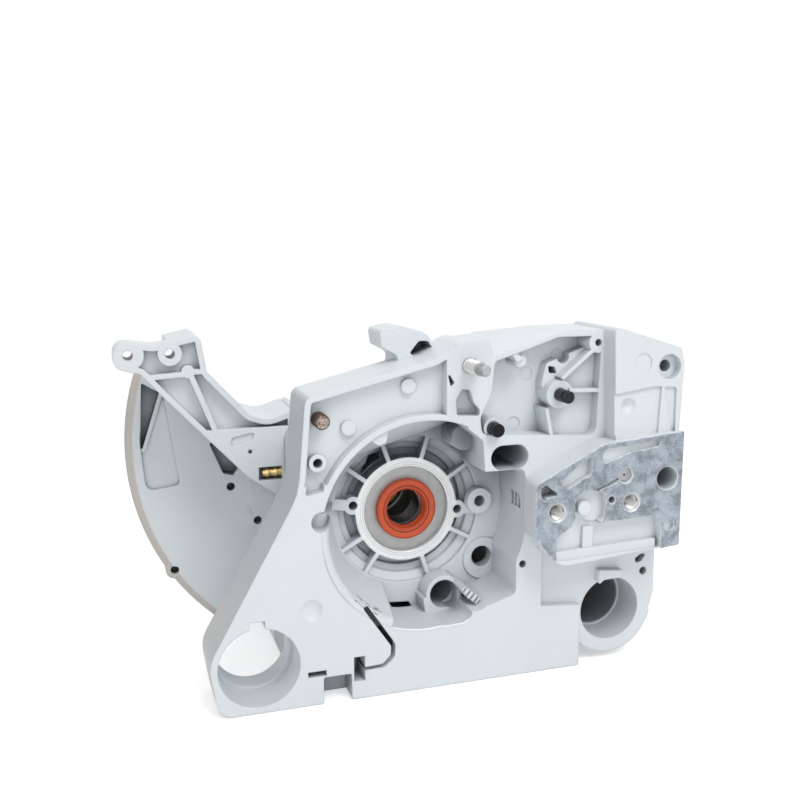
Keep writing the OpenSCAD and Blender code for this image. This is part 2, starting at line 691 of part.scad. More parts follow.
module fan_outline() {
    outline([[-80, base_z, 10], [-140, -60, 0], [-140, 60, 0], [-112, 60, 3], [-84, 56, 6],
        [-60, 30, 8], [-46, 34, 4], [-deck_l / 2 - 3, deck_z, 3], [deck_l / 2 + 3, deck_z, 3],
        [50, 46, 6], [102, 44, 8], [112, 30, 8], [112, -46, 20], [98, -70, 14], [84, base_z, 4]]);
}

module rear_plate() {
    difference() {
        intersection() {
            slab(plate_y, far_y) fan_outline();
            union() {
                cone_rod(plate_centre, plate_r - plate_t, plate_r, plate_y, far_y);
                translate([0, plate_y - cut, -100]) cube([200, 20, 200]);
            }
        }
        // Shallow wedge under the arm
        slab(plate_y - cut, plate_y + plate_t / 2) outline([[-101, 50, 1], [-94.5, 1.7, 2],
            [-110.8, -0.4, 4], [-113, 26, 20], [-108.6, 50, 1]]);
    }
}

module arm_outline() {
    outline([[-124.5, 66, 5], [-123.5, 77.5, 5], [-106, 75, 10], [-86, 79.3, 3], [-83.4, 62, 6],
        [-64.5, 41, 6], [-56, 38.2, 10], [-44, 42, 0], [-44, 6, 0], [-52, 1.6, 2],
        [-66, 11.4, 0], [-103, 51.4, 20], [-112.6, 62.6, 4], [-117, 63.4, 3]]);
}

// Arm with two screw eyes, whose top wall carries it from the plate
module rear_arm() {
    arm_y1 = fan_face_y + arm_t;
    difference() {
        slab(fan_face_y, arm_y1) arm_outline();
        slab(fan_face_y - cut, fan_face_y + arm_pocket) difference() {
            offset(delta = -2.6) arm_outline();
            translate([-117.7, 71]) circle(7);
            translate([-99.4, 71]) circle(5.4);
            bar_2d([-113, 60.4], [-91.8, 61.6], 2.4);
            bar_2d([-92, 62.4], [-80, 62.4], 2.4);
            bar_2d([-91.8, 64], [-79.8, 33], 2.6);
            translate([-90, 0]) square([60, 35]);
        }
        slab(fan_face_y - cut, fan_face_y + 1.2) outline([[-74, 26.6, 1], [-64, 29.4, 1],
            [-61.5, 33, 1], [-73, 30.8, 1]]);
        rod([-64.8, 23.7], 1, fan_face_y - cut, fan_face_y + 3);
        for (at = arm_holes_at) rod(at, arm_hole / 2, fan_face_y - cut, arm_y1 + cut);
    }
    rod([-91.8, 62.6], 3, fan_face_y, arm_y1);
    slab(arm_y1 - cut, plate_y + cut) {
        difference() {
            arm_outline();
            translate([-wall, -wall]) arm_outline();
            translate([-130, 60]) square([30, 30]);
        }
        bar_2d([-96, 55], [-88, 66], 2.4);
        bar_2d([-74, 22], [-66, 34], 2.4);
        bar_2d([-60, 8], [-50, 22], 2.4);
    }
}

// Round boss of the crank seal with ribs over the recess floor
module flywheel_recess() {
    difference() {
        rod([0, 0], fan_r, fan_floor_y, far_y + cut);
        rod([0, 0], seal_od / 2 + 5, fan_floor_y - cut, fan_boss_y);
        for (a = [20:40:340]) slab(fan_floor_y - cut, fan_boss_y - 2)
            bar_2d([16 * cos(a), 16 * sin(a)], [46 * cos(a), 46 * sin(a)], rib_t);
    }
}

// Nipple's slot, its press seat and the passage to the crank chamber
module nipple_seat() {
    translate([nipple_at[0] - 4, fan_face_y - cut, nipple_at[1] - 3.2])
        cube([11, 7.5, 6.4]);
    translate([nipple_at[0] - 2, nipple_y, nipple_at[1]]) rotate([0, 90, 0])
        cylinder(r = nipple_d / 2, h = nipple_l);
    translate([nipple_at[0], nipple_y, nipple_at[1]]) rotate([0, 90, 0])
        cylinder(r = nipple_d / 4, h = 30);
}

module fan_side_half() {
    color(paint) difference() {
        union() {
            slab(fan_face_y, far_y) case_outline();
            rear_plate();
            rear_arm();
            for (at = plate_holes_at) rod(at, cover_hole / 2 + 2.4, plate_y + 1, far_y + plate_post);
            for (p = plate_pockets) slab(plate_y + 1, far_y + plate_post) offset(delta = 2)
                outline(p);
            rod(disc_hole_at, cover_hole / 2 + 2.4, disc_y, far_y);
            intersection() {
                rod([0, 0], fan_r + wall, disc_y, far_y);
                slab(fan_floor_y - 20, far_y + cut) fan_outline();
            }
        }
        flywheel_recess();
        rod([0, 0], chamber_r, part_y - cut, chamber_y1);
        translate([-throat_w / 2, part_y - cut, 0]) cube([throat_w, chamber_y1 - part_y + cut,
            deck_z + cut]);
        // Seats of the fan-side bearing and seal
        rod([0, 0], bearing_od / 2 - 4, chamber_y1 - cut, bearing_span);
        rod([0, 0], bearing_od / 2, bearing_span - bearing_w / 2, bearing_span + bearing_w / 2);
        rod([0, 0], seal_od / 2, bearing_span, fan_boss_y + cut);
        slab(part_y - cut, plate_y - 2) tank_outline();
        slab(part_y - cut, disc_y) hollow_outline();
        // Front buffer bore
        rod(front_bore_at, front_bore / 2, far_y - bore_depth, far_y + cut);
        rod(front_bore_at, front_bore / 2 - bore_step, far_y - 2 * bore_depth, far_y);
        for (at = case_screws_at) {
            rod(at, case_screw / 2 + 0.3, part_y - cut, far_y + cut);
            rod(at, case_head / 2 + 0.6, case_head_y, far_y + cut);
        }
        for (at = sleeves_at) rod(at, sleeve_d / 2, part_y - cut, fan_face_y + sleeve_l / 2);
        // Pockets under the arm, and blind screw holes of the starter cover
        for (p = plate_pockets) slab(plate_y - cut, far_y + plate_post - 1.5) outline(p);
        for (at = plate_holes_at) rod(at, cover_hole / 2, plate_y - cut, far_y + plate_post - 1.5);
        rod(disc_hole_at, cover_hole / 2, disc_y - cut, disc_y + 8);
        for (at = far_holes_at) rod(at, cover_hole / 2, far_y - 5, far_y + cut);
        for (x = [-1, 1]) translate([x * deck_pitch_x / 2, part_y + deck_pitch_y / 2, deck_z - 16])
            cylinder(r = deck_screw * 0.42, h = 16 + cut);
        nipple_seat();
    }
}

module crankcase_gasket() {
    color(dark_steel) slab(clutch_face_y, fan_face_y) difference() {
        case_outline();
        circle(chamber_r);
        translate([-throat_w / 2, 0]) square([throat_w, deck_z + cut]);
        tank_outline();
        hollow_outline();
        for (at = case_screws_at) translate(at) circle(case_screw / 2 + 0.3);
        for (at = sleeves_at) translate(at) circle(sleeve_d / 2);
    }
}

// Main bearings

pitch_r = (bearing_od + bearing_id) / 4;
race_r = ball_d / 2 + run_gap;

module bearing_outer_ring(y) {
    color(steel) translate([0, y, 0]) turned() difference() {
        translate([pitch_r + ball_d / 3, -bearing_w / 2])
            square([bearing_od / 2 - pitch_r - ball_d / 3, bearing_w]);
        translate([pitch_r, 0]) circle(race_r);
    }
}

module bearing_inner_ring(y) {
    color(steel) translate([0, y, 0]) turned() difference() {
        translate([bearing_id / 2, -bearing_w / 2])
            square([pitch_r - ball_d / 3 - bearing_id / 2, bearing_w]);
        translate([pitch_r, 0]) circle(race_r);
    }
}

module ball_ring(r) {
    for (i = [0:ball_count - 1]) rotate([0, i * 360 / ball_count, 0])
        translate([pitch_r, 0, 0]) sphere(r);
}

module bearing_cage(y) {
    color(brass) translate([0, y, 0]) difference() {
        turned() translate([pitch_r - 0.9, -ball_d * 0.64]) square([1.8, ball_d * 1.28]);
        for (i = [0:ball_count - 1]) rotate([0, i * 360 / ball_count, 0])
            translate([pitch_r - 3, 0, 0]) rotate([0, 90, 0]) cylinder(r = race_r, h = 6);
    }
}

module bearing_balls(y) {
    color(steel) translate([0, y, 0]) ball_ring(ball_d / 2);
}

module clutch_bearing_outer_ring() { bearing_outer_ring(0); }
module clutch_bearing_inner_ring() { bearing_inner_ring(0); }
module clutch_bearing_cage() { bearing_cage(0); }
module clutch_bearing_balls() { bearing_balls(0); }
module fan_bearing_outer_ring() { bearing_outer_ring(bearing_span); }
module fan_bearing_inner_ring() { bearing_inner_ring(bearing_span); }
module fan_bearing_cage() { bearing_cage(bearing_span); }
module fan_bearing_balls() { bearing_balls(bearing_span); }

// Shaft seals

seal_r = seal_od / 2;
shaft_r = bearing_id / 2;
spring_wire = 0.6;
spring_r = shaft_r + 2.4;

// Section of a lip seal, open face towards zero
module seal_section() {
    lip_r = shaft_r + lip_gap;
    difference() {
        polygon([[seal_r, 0], [seal_r, seal_w], [shaft_r + 3.4, seal_w], [shaft_r + 3, seal_w - 1],
            [spring_r + spring_wire, seal_w - 1.6], [lip_r + 0.6, seal_w - 2], [lip_r, 4],
            [lip_r + 0.9, 2.4], [lip_r + 0.6, 0.6], [lip_r + 1.4, 0]]);
        translate([spring_r, seal_w - 1.7]) circle(spring_wire + 0.02);
    }
}

module garter_section() {
    translate([spring_r, seal_w - 1.7]) circle(spring_wire);
}

module seal_carrier_disc() {
    y = floor_y + carrier_set;
    color(steel) turned() translate([seal_r, y])
        square([bearing_od / 2 - seal_r, carrier_t]);
}

module clutch_side_seal() {
    color(seal_orange) translate([0, floor_y, 0]) turned() seal_section();
}

module clutch_seal_spring() {
    color(steel) translate([0, floor_y, 0]) turned() garter_section();
}

module fan_side_seal() {
    color(seal_orange) translate([0, fan_boss_y, 0]) mirror([0, 1, 0]) turned() seal_section();
}

module fan_seal_spring() {
    color(steel) translate([0, fan_boss_y, 0]) mirror([0, 1, 0]) turned() garter_section();
}

// Studs, pins and small fittings

// Stud with a collar on its face, a thread and a reduced end
module brake_band_stud() {
    color(steel) turned(band_stud_at) polygon([[0, near_y - 18], [1.9, near_y - 18],
        [stud_d / 2 - 0.6, near_y - 17], [stud_d / 2 - 0.6, near_y - 12.6],
        [stud_d / 2 - 0.2, near_y - 12], [stud_d / 2 - 0.2, near_y - 1.6],
        [stud_d / 2 + 0.6, near_y - 1.2], [stud_d / 2 + 0.6, near_y],
        [stud_d / 2, near_y], [stud_d / 2, near_y + 12], [0, near_y + 12]]);
}

// Pin with a clip groove near its end, set in a face
module grooved_pin(at, r, tip, face, depth) {
    color(dark_steel) turned(at) polygon([[0, tip], [r - 0.6, tip], [r, tip + 0.6],
        [r, tip + 1.6], [r - 0.7, tip + 1.7], [r - 0.7, tip + 2.7], [r, tip + 2.8],
        [r, face + depth], [0, face + depth]]);
}

module brake_lever_pin() {
    grooved_pin(lever_pin_at, stud_d / 2, near_y - 5, near_y, 13);
}

module brake_spring_pin() {
    grooved_pin(spring_pin_at, stud_d / 2 - 0.2, near_y - 8, near_y, 13);
}

module rear_cover_stud() {
    r = stud_d / 2 + 0.2;
    color(rust) turned(cover_stud_at) polygon([[0, near_y - 2], [r - 0.7, near_y - 2],
        [r, near_y - 1.3], [r, channel_y], [stud_d / 2, channel_y],
        [stud_d / 2, channel_y + 9], [0, channel_y + 9]]);
}

module impulse_nipple() {
    r = nipple_d / 2;
    color(brass) translate([nipple_at[0] - 2, nipple_y, nipple_at[1]]) rotate([0, 90, 0])
        rotate_extrude() polygon([[nipple_d / 4, 0], [r - 0.5, 0], [r + 0.3, 2.6], [r - 0.3, 2.8],
            [r - 0.3, 4], [r + 0.3, 6.6], [r - 0.3, 6.8], [r - 0.3, 7.6], [r, 7.8],
            [r, nipple_l], [nipple_d / 4, nipple_l]]);
}

module oil_passage_plug() {
    color(steel) difference() {
        rod(plug_at, 3.4, pad_y + 1.5, pad_y + 7);
        rod(plug_at, 0.5, pad_y, pad_y + 8);
    }
}

// Round head screws with a six-lobe socket, drawn as a plain six-sided one
module crankcase_screws() {
    color(steel) for (at = case_screws_at) difference() {
        union() {
            rod(at, case_screw / 2, case_head_y - case_screw_l, case_head_y);
            rod(at, case_head / 2, case_head_y, case_head_y + 4);
        }
        translate([at[0], case_head_y + 1.5, at[1]]) rotate([-90, 0, 0])
            cylinder(r = 2.4, h = 4, $fn = 6);
    }
}

module locating_sleeves() {
    color(steel) for (at = sleeves_at) difference() {
        rod(at, sleeve_d / 2, part_y - sleeve_l / 2, part_y + sleeve_l / 2);
        rod(at, sleeve_d / 2 - 1, part_y - sleeve_l, part_y + sleeve_l);
    }
}

clutch_side_half();
fan_side_half();
crankcase_gasket();
clutch_bearing_outer_ring();
clutch_bearing_inner_ring();
clutch_bearing_cage();
clutch_bearing_balls();
fan_bearing_outer_ring();
fan_bearing_inner_ring();
fan_bearing_cage();
fan_bearing_balls();
seal_carrier_disc();
clutch_side_seal();
clutch_seal_spring();
fan_side_seal();
fan_seal_spring();
brake_band_stud();
brake_lever_pin();
brake_spring_pin();
rear_cover_stud();
impulse_nipple();
oil_passage_plug();
crankcase_screws();
locating_sleeves();
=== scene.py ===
"""Chainsaw crankcase: finishes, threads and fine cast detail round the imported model."""

import json
import math

import bmesh
import bpy
from bpy.props import FloatProperty, FloatVectorProperty, IntProperty, PointerProperty
from mathutils import Matrix, Vector


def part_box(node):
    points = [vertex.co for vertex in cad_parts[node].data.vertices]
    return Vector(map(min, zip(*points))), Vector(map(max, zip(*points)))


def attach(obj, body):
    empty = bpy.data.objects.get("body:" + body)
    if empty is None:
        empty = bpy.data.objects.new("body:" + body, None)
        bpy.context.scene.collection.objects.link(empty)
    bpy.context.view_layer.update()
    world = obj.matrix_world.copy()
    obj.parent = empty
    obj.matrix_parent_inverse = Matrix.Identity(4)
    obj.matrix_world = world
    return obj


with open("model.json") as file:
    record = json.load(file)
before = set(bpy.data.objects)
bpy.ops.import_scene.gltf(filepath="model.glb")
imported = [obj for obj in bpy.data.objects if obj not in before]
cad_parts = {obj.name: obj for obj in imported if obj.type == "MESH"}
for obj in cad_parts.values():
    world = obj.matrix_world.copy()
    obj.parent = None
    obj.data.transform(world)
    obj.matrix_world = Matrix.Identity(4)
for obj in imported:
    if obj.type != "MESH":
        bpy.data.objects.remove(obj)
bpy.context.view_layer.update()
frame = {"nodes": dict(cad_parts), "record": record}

bl_info = {
    "name": "Chainsaw Crankcase",
    "version": (1, 0, 0),
    "blender": (4, 5, 0),
    "location": "View3D > Sidebar > Crankcase",
    "description": "Finishes, threads and cast detail for a two-half chainsaw crankcase",
    "category": "Object",
}

MM = 0.001
NODES = frame["nodes"]
MOUNTS = {m["name"]: m for m in frame["record"]["mounts"]}

# How far the band stud stands out of the cover face, and the far seal lies below the far face
STUD_OUT = 18 * MM
SEAL_SUNK = 3 * MM

# Planes across the crank axis and the underside, read from the pieces that reach them
PAD_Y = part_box("clutch_side_half")[0].y
FACE_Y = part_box("brake_band_stud")[0].y + STUD_OUT
SEAL_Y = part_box("clutch_side_seal")[0].y
FAR_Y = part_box("fan_side_seal")[1].y + SEAL_SUNK
BASE_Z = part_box("clutch_side_half")[0].z

STUD_HOLES = ("rear_bar_stud_hole", "front_bar_stud_hole")

# Marks on the cavity's rim: worn scuffs at the upper right, flash lines at the lower left, a
# painted shade line for a step in the face at the left, and the narrow slot under them, inside
# which the painted shade is weaker
SCUFFS_AT = Vector((17 * MM, FACE_Y + 4 * MM, 42 * MM))
FLASH_AT = Vector((-26 * MM, FACE_Y, -33 * MM))
STEP_AT = Vector((-41 * MM, FACE_Y, -21 * MM))
SLOT_AT = Vector((-18 * MM, FACE_Y, -52 * MM))
CAVITY_R = 46.3 * MM
BORE_R = 8.5 * MM

# Ring turned round the seal with its two fine grooves, and the seal's own grooves and bead
TURNED_R = 24.3 * MM
TURNED_GROOVES = ((20.9 * MM, 0.16 * MM), (21.9 * MM, 0.12 * MM))
SEAL_GROOVES = ((10.9 * MM, 0.3 * MM), (13.6 * MM, 0.14 * MM))
SEAL_BEAD = (10.1 * MM, 0.7 * MM)

# Near face of the rear plate, and the middle and drafted edge of its curve
PLATE_Y = 58 * MM
PLATE_CENTRE = Vector((0, 0, 20 * MM))
PLATE_EDGE = (115.6 * MM, 117 * MM)

# Reach of the crank chamber's bare walls
CHAMBER_R = 36.3 * MM
CHAMBER_Y = (7.8 * MM, 38.2 * MM)

# Where along X or Z the left wall's painted shade, its foot, the plate's left side, the cavity's
# painted shadow and grime and the pad's front part set in, and how deep the front bore's painted
# shade begins and a stud hole stays bright
LEFT_WALL_X = (-44 * MM, -54 * MM)
LEFT_FOOT_Z = (0, -50 * MM)
PLATE_LEFT_X = (0, -20 * MM)
CAVITY_SHADOW_Z = (-4 * MM, 28 * MM)
PAD_FRONT_X = (76 * MM, 96 * MM)
FRONT_BORE_SHADE_Y = (-24 * MM, -19 * MM)
HOLE_DEPTH = 20 * MM

# Threads: how deep the roots sink, how far the crests stand off the wall, and the ends
ROOT_SUNK = 0.1 * MM
STUD_CREST = 0.35 * MM
HOLE_CREST = 0.5 * MM
STUD_ENDS = (FACE_Y - 12 * MM, FACE_Y - 1.3 * MM)
HOLE_ENDS = (PAD_Y + 0.9 * MM, PAD_Y + 15.5 * MM)

# Raised flash on the cavity's lower rim: its two ends as angles, and its radius
FLASH_ENDS = (math.radians(-112), math.radians(-66))
FLASH_R = 0.45 * MM

# Place, aim and size of each lamp, and distances between which the floor fades to plain white
LAMPS = {
    "key": ((0.2, -0.72, 0.92), (0, 0, 0), 0.5),
    "left": ((-0.4, -1.1, 0.3), (-0.05, 0, 0), 0.6),
    "top": ((0.1, 0.1, 1.1), (0, 0, 0), 0.8),
}
FLOOR_FADE = (0.28, 0.75)

# Tones of the stage, wear, grime, painted shade and highlight, bare metal, gasket and seals
WHITE = (1, 1, 1, 1)
BLACK = (0, 0, 0, 1)
FLOOR_PALE = (0.9, 0.9, 0.9, 1)
RUBBED_AND_HIGHLIGHT = (0.84, 0.86, 0.88, 1)
WALL_SHADE = (0.36, 0.385, 0.415, 1)
WALL_SHADE_FOOT = (0.33, 0.315, 0.305, 1)
SCUFF_TONE = (0.12, 0.10, 0.085, 1)
FLASH_TONE = (0.09, 0.09, 0.095, 1)
STEP_SHADE = (0.25, 0.27, 0.29, 1)
CAVITY_SHADOW_AND_GRIME = (0.09, 0.115, 0.135, 1)
CHAMBER_OIL_AND_SHADE_DARK = (0.12, 0.115, 0.105, 1)
CHAMBER_OIL_AND_SHADE_PALE = (0.24, 0.235, 0.225, 1)
FRONT_BORE_SHADE = (0.15, 0.155, 0.165, 1)
TURNED_GROOVE_TONE = (0.2, 0.2, 0.2, 1)
TAPPED = (0.60, 0.615, 0.64, 1)
SPECKS = (0.62, 0.66, 0.71, 1)
NICKS = (0.88, 0.89, 0.9, 1)
PLATE_SHADE = (0.085, 0.11, 0.12, 1)
BORE_INSIDE_SHADE = (0.06, 0.06, 0.06, 1)
GASKET_DARK = (0.05, 0.05, 0.052, 1)
GASKET_PALE = (0.11, 0.11, 0.115, 1)
SEAL_BLOOM = (0.62, 0.30, 0.22, 1)
SEAL_GROOVE_TONE = (0.16, 0.025, 0.015, 1)
ZINC_SPOTS = (0.17, 0.16, 0.15, 1)
RUST_END = (0.52, 0.42, 0.37, 1)


def place(name):
    """Position of a mount, in metres."""
    return Vector(MOUNTS[name]["pos_m"])


def radius(name):
    """Wall radius of a round mount, in metres."""
    return MOUNTS[name]["dims"]["r_mm"] * MM


class Finish:
    """A procedural material, with short calls for its nodes."""

    def __init__(self, name):
        self.material = bpy.data.materials.new(name)
        self.material.use_nodes = True
        self.tree = self.material.node_tree
        self.tree.nodes.clear()
        self.shader = self.tree.nodes.new("ShaderNodeBsdfPrincipled")
        out = self.tree.nodes.new("ShaderNodeOutputMaterial")
        self.tree.links.new(self.shader.outputs[0], out.inputs["Surface"])
        self.coordinates = self.add("ShaderNodeTexCoord").outputs["Object"]
        self.axes = self.add("ShaderNodeSeparateXYZ", Vector=self.coordinates).outputs

    def add(self, kind, settings=None, **inputs):
        """Adds a node, sets its settings, and fills or links its named inputs."""
        node = self.tree.nodes.new(kind)
        for key, value in (settings or {}).items():
            setattr(node, key, value)
        for key, value in inputs.items():
            self.fill(node.inputs[key.replace("_", " ")], value)
        return node

    def fill(self, socket, value):
        """Links an input to a node's output, or sets its value."""
        if isinstance(value, bpy.types.NodeSocket):
            self.tree.links.new(value, socket)
        else:
            socket.default_value = value

    def math(self, operation, *values):
        """Number that an operation gives."""
        node = self.add("ShaderNodeMath", {"operation": operation})
        for socket, value in zip(node.inputs, values):
            self.fill(socket, value)
        return node.outputs[0]

    def times(self, first, *others):
        """Product of numbers."""
        for other in others:
            first = self.math("MULTIPLY", first, other)
        return first

    def ramp(self, value, low, high):
        """0 below low, 1 above high, and smooth between."""
        node = self.add(
            "ShaderNodeMapRange", {"interpolation_type": "SMOOTHSTEP"},
            Value=value, From_Min=low, From_Max=high,
        )
        return node.outputs["Result"]

    def noise(self, size, detail=3.0, rough=0.55, stretch=None):
        """Noise whose lumps measure about size, in metres."""
        vector = self.coordinates
        if stretch:
            vector = self.add("ShaderNodeMapping", Vector=vector, Scale=stretch).outputs[0]
        node = self.add(
            "ShaderNodeTexNoise", Vector=vector, Scale=1 / size, Detail=detail, Roughness=rough
        )
        return node.outputs["Fac"]

    def blend(self, share, first, second):
        """Colour that goes from first to second by share."""
        node = self.add("ShaderNodeMix", {"data_type": "RGBA"})
        self.fill(node.inputs["Factor"], share)
        self.fill(node.inputs[6], first)
        self.fill(node.inputs[7], second)
        return node.outputs[2]

    def lerp(self, share, first, second):
        """Number that goes from first to second by share."""
        node = self.add("ShaderNodeMix", {"data_type": "FLOAT"})
        self.fill(node.inputs["Factor"], share)
        self.fill(node.inputs[2], first)
        self.fill(node.inputs[3], second)
        return node.outputs[0]

    def soft_edges(self, size):
        """Normal that rounds every edge by size."""
        return self.add("ShaderNodeBevel", {"samples": 6}, Radius=size).outputs[0]

    def edge_share(self, size):
        """1 on the edges of the solid, 0 on its flats."""
        soft = self.soft_edges(size)
        true = self.add("ShaderNodeNewGeometry").outputs["True Normal"]
        dot = self.add("ShaderNodeVectorMath", {"operation": "DOT_PRODUCT"})
        self.fill(dot.inputs[0], soft)
        self.fill(dot.inputs[1], true)
        return self.ramp(dot.outputs["Value"], 0.99, 0.8)

    def crevice(self, reach, open_at, closed_at):
        """1 where solids close in within reach, 0 on open faces."""
        node = self.add("ShaderNodeAmbientOcclusion", {"samples": 6}, Distance=reach)
        return self.ramp(node.outputs["AO"], open_at, closed_at)

    def near(self, at, reach):
        """1 at a point, fading to 0 at reach."""
        gap = self.add("ShaderNodeVectorMath", {"operation": "DISTANCE"})
        self.fill(gap.inputs[0], self.coordinates)
        self.fill(gap.inputs[1], at)
        return self.ramp(gap.outputs["Value"], reach, reach * 0.5)

    def ring(self, distance, at, width):
        """1 on a thin ring at a distance from an axis."""
        away = self.math("ABSOLUTE", self.math("SUBTRACT", distance, at))
        return self.ramp(away, width, width * 0.4)

    def rings(self, distance, pair):
        """1 on either of two thin rings, each given by its radius and width."""
        first, second = (self.ring(distance, at, width) for at, width in pair)
        return self.math("MAXIMUM", first, second)

    def bump(self, height, depth, normal=None):
        """Bumps the surface by a height from 0 to 1, over a depth in metres."""
        node = self.add("ShaderNodeBump", Strength=1.0, Distance=depth, Height=height)
        if normal:
            self.fill(node.inputs["Normal"], normal)
        return node.outputs[0]

    def from_axis(self, at):
        """Distance from a line along the crank axis through at."""
        dx = self.math("SUBTRACT", self.axes["X"], at.x)
        dz = self.math("SUBTRACT", self.axes["Z"], at.z)
        squares = self.math("ADD", self.times(dx, dx), self.times(dz, dz))
        return self.math("SQRT", squares)

    def from_axis_z(self):
        """Distance from the upright line through the crank bearing."""
        squares = self.times(self.axes["X"], self.axes["X"])
        squares = self.math("MULTIPLY_ADD", self.axes["Y"], self.axes["Y"], squares)
        return self.math("SQRT", squares)

    def facing(self, axis):
        """The surface's own direction along an axis, from -1 to 1."""
        normal = self.add("ShaderNodeTexCoord").outputs["Normal"]
        return self.add("ShaderNodeSeparateXYZ", Vector=normal).outputs[axis]

    def on_plane(self, y, slack=0.12 * MM):
        """1 on the plane at y across the crank axis."""
        away = self.math("ABSOLUTE", self.math("SUBTRACT", self.axes["Y"], y))
        return self.math("LESS_THAN", away, slack)

    def finish(self, **values):
        """Sets the shader's own sockets."""
        for key, value in values.items():
            self.fill(self.shader.inputs[key.replace("_", " ")], value)
        return self.material


def dress(names, material):
    """Gives the CAD nodes one material."""
    for name in names:
        for slot in NODES[name].material_slots:
            slot.material = material


def rgb(colour):
    """Colour of a setting, with full alpha."""
    return (colour[0], colour[1], colour[2], 1.0)


def shade(colour, factor):
    """Colour of a setting made darker or paler by a factor."""
    return tuple(min(1.0, c * factor) for c in colour[:3]) + (1.0,)


class CastingFinish(bpy.types.PropertyGroup):
    """Paint and bare metal of the two halves."""

    paint: FloatVectorProperty(
        name="Paint", description="Colour of the powder coat", subtype="COLOR",
        default=(0.70, 0.745, 0.775), min=0, max=1,
    )
    machined: FloatVectorProperty(
        name="Machined metal", description="Colour of the milled bar pad", subtype="COLOR",
        default=(0.29, 0.33, 0.375), min=0, max=1,
    )
    ring: FloatVectorProperty(
        name="Turned ring", description="Colour of the turned ring round the seal",
        subtype="COLOR", default=(0.74, 0.75, 0.75), min=0, max=1,
    )
    # Tone of the painted shade in corners and deep holes
    shadow: FloatVectorProperty(
        name="Deep corners", description="Tone that gathers in corners and deep holes",
        subtype="COLOR", default=(0.16, 0.18, 0.20), min=0, max=1,
    )
    # Tint of the painted warm reflected light on the rear plate's edge
    warm_reflection: FloatVectorProperty(
        name="Warm edge", description="Tan cast on the rear plate's edge", subtype="COLOR",
        default=(0.50, 0.42, 0.35), min=0, max=1,
    )
    fillet: FloatProperty(
        name="Edge radius", description="Radius that softens the cast edges", unit="LENGTH",
        default=1.0 * MM, min=0, max=2 * MM,
    )
    grain: FloatProperty(
        name="Paint grain", description="Size of the lumps in the powder coat", unit="LENGTH",
        default=0.9 * MM, min=0.2 * MM, max=5 * MM,
    )


class MetalFinish(bpy.types.PropertyGroup):
    """Metals and rubber of the small pieces."""

    steel: FloatVectorProperty(
        name="Steel", description="Colour of ground and turned steel", subtype="COLOR",
        default=(0.46, 0.46, 0.46), min=0, max=1,
    )
    zinc: FloatVectorProperty(
        name="Zinc", description="Colour of zinc plated steel", subtype="COLOR",
        default=(0.42, 0.43, 0.445), min=0, max=1,
    )
    black: FloatVectorProperty(
        name="Black steel", description="Colour of the blackened pins", subtype="COLOR",
        default=(0.035, 0.036, 0.042), min=0, max=1,
    )
    rust: FloatVectorProperty(
        name="Rust", description="Colour of the rusty stud", subtype="COLOR",
        default=(0.15, 0.115, 0.095), min=0, max=1,
    )
    brass: FloatVectorProperty(
        name="Brass", description="Colour of the hose nipple", subtype="COLOR",
        default=(0.80, 0.60, 0.27), min=0, max=1,
    )
    seal: FloatVectorProperty(
        name="Seal", description="Colour of the shaft seals' rubber", subtype="COLOR",
        default=(0.58, 0.085, 0.028), min=0, max=1,
    )


class ThreadSizes(bpy.types.PropertyGroup):
    """Threads on the studs and in the holes."""

    coarse: FloatProperty(
        name="Coarse pitch", description="Pitch of the bar stud threads", unit="LENGTH",
        default=1.25 * MM, min=0.5 * MM, max=2 * MM,
    )
    fine: FloatProperty(
        name="Fine pitch", description="Pitch of the M6 threads", unit="LENGTH",
        default=1.0 * MM, min=0.4 * MM, max=1.5 * MM,
    )
    sides: IntProperty(
        name="Sides", description="Steps round one turn of a thread", default=28, min=12, max=64,
    )


class StageSetup(bpy.types.PropertyGroup):
    """Floor, lamps and camera."""

    azimuth: FloatProperty(
        name="Azimuth", description="Camera's angle round the part", subtype="ANGLE",
        default=math.radians(-17.79),
    )
    elevation: FloatProperty(
        name="Elevation", description="Camera's angle above the part", subtype="ANGLE",
        default=math.radians(9.82),
    )
    roll: FloatProperty(
        name="Roll", description="Camera's turn about its own axis", subtype="ANGLE",
        default=math.radians(0.24),
    )
    camera_at: FloatVectorProperty(
        name="Camera place", description="Where the camera stands", subtype="TRANSLATION",
        default=(-0.1340, -0.4215, 0.1249),
    )
    lens: FloatProperty(
        name="Lens", description="Focal length on a 36 mm sensor", default=43.9, min=10, max=200,
    )
    key: FloatProperty(
        name="Key lamp", description="Power of the large lamp", default=5.6, min=0, max=100,
    )
    top: FloatProperty(
        name="Top lamp", description="Power of the lamp overhead", default=2.2, min=0, max=100,
    )
    left: FloatProperty(
        name="Left lamp", description="Power of the lamp in front at the left", default=1.7,
        min=0, max=100,
    )
    sky: FloatProperty(
        name="Sky", description="Level of the light from all round", default=0.52, min=0, max=2,
    )


def settings():
    """Settings of the part in the current scene."""
    return bpy.context.scene.crankcase


class CrankcaseSettings(bpy.types.PropertyGroup):
    """All settings of the part."""

    casting: PointerProperty(type=CastingFinish)
    metal: PointerProperty(type=MetalFinish)
    thread: PointerProperty(type=ThreadSizes)
    stage: PointerProperty(type=StageSetup)


def view_axes(azimuth, elevation, roll):
    """Right, up and back directions of a camera."""
    back = Vector((
        math.sin(azimuth) * math.cos(elevation),
        -math.cos(azimuth) * math.cos(elevation),
        math.sin(elevation),
    ))
    right = Vector((math.cos(azimuth), math.sin(azimuth), 0))
    turn = Matrix.Rotation(-roll, 3, back)
    right = turn @ right
    return right, back.cross(right), back


def area_lamp(name, at, aim, size, power):
    """Square soft lamp at a point, turned to another."""
    lamp = bpy.data.lights.new(name, "AREA")
    lamp.size = size
    lamp.energy = power
    thing = bpy.data.objects.new(name, lamp)
    thing.location = at
    thing.rotation_euler = (Vector(aim) - Vector(at)).to_track_quat("-Z", "Y").to_euler()
    bpy.context.scene.collection.objects.link(thing)


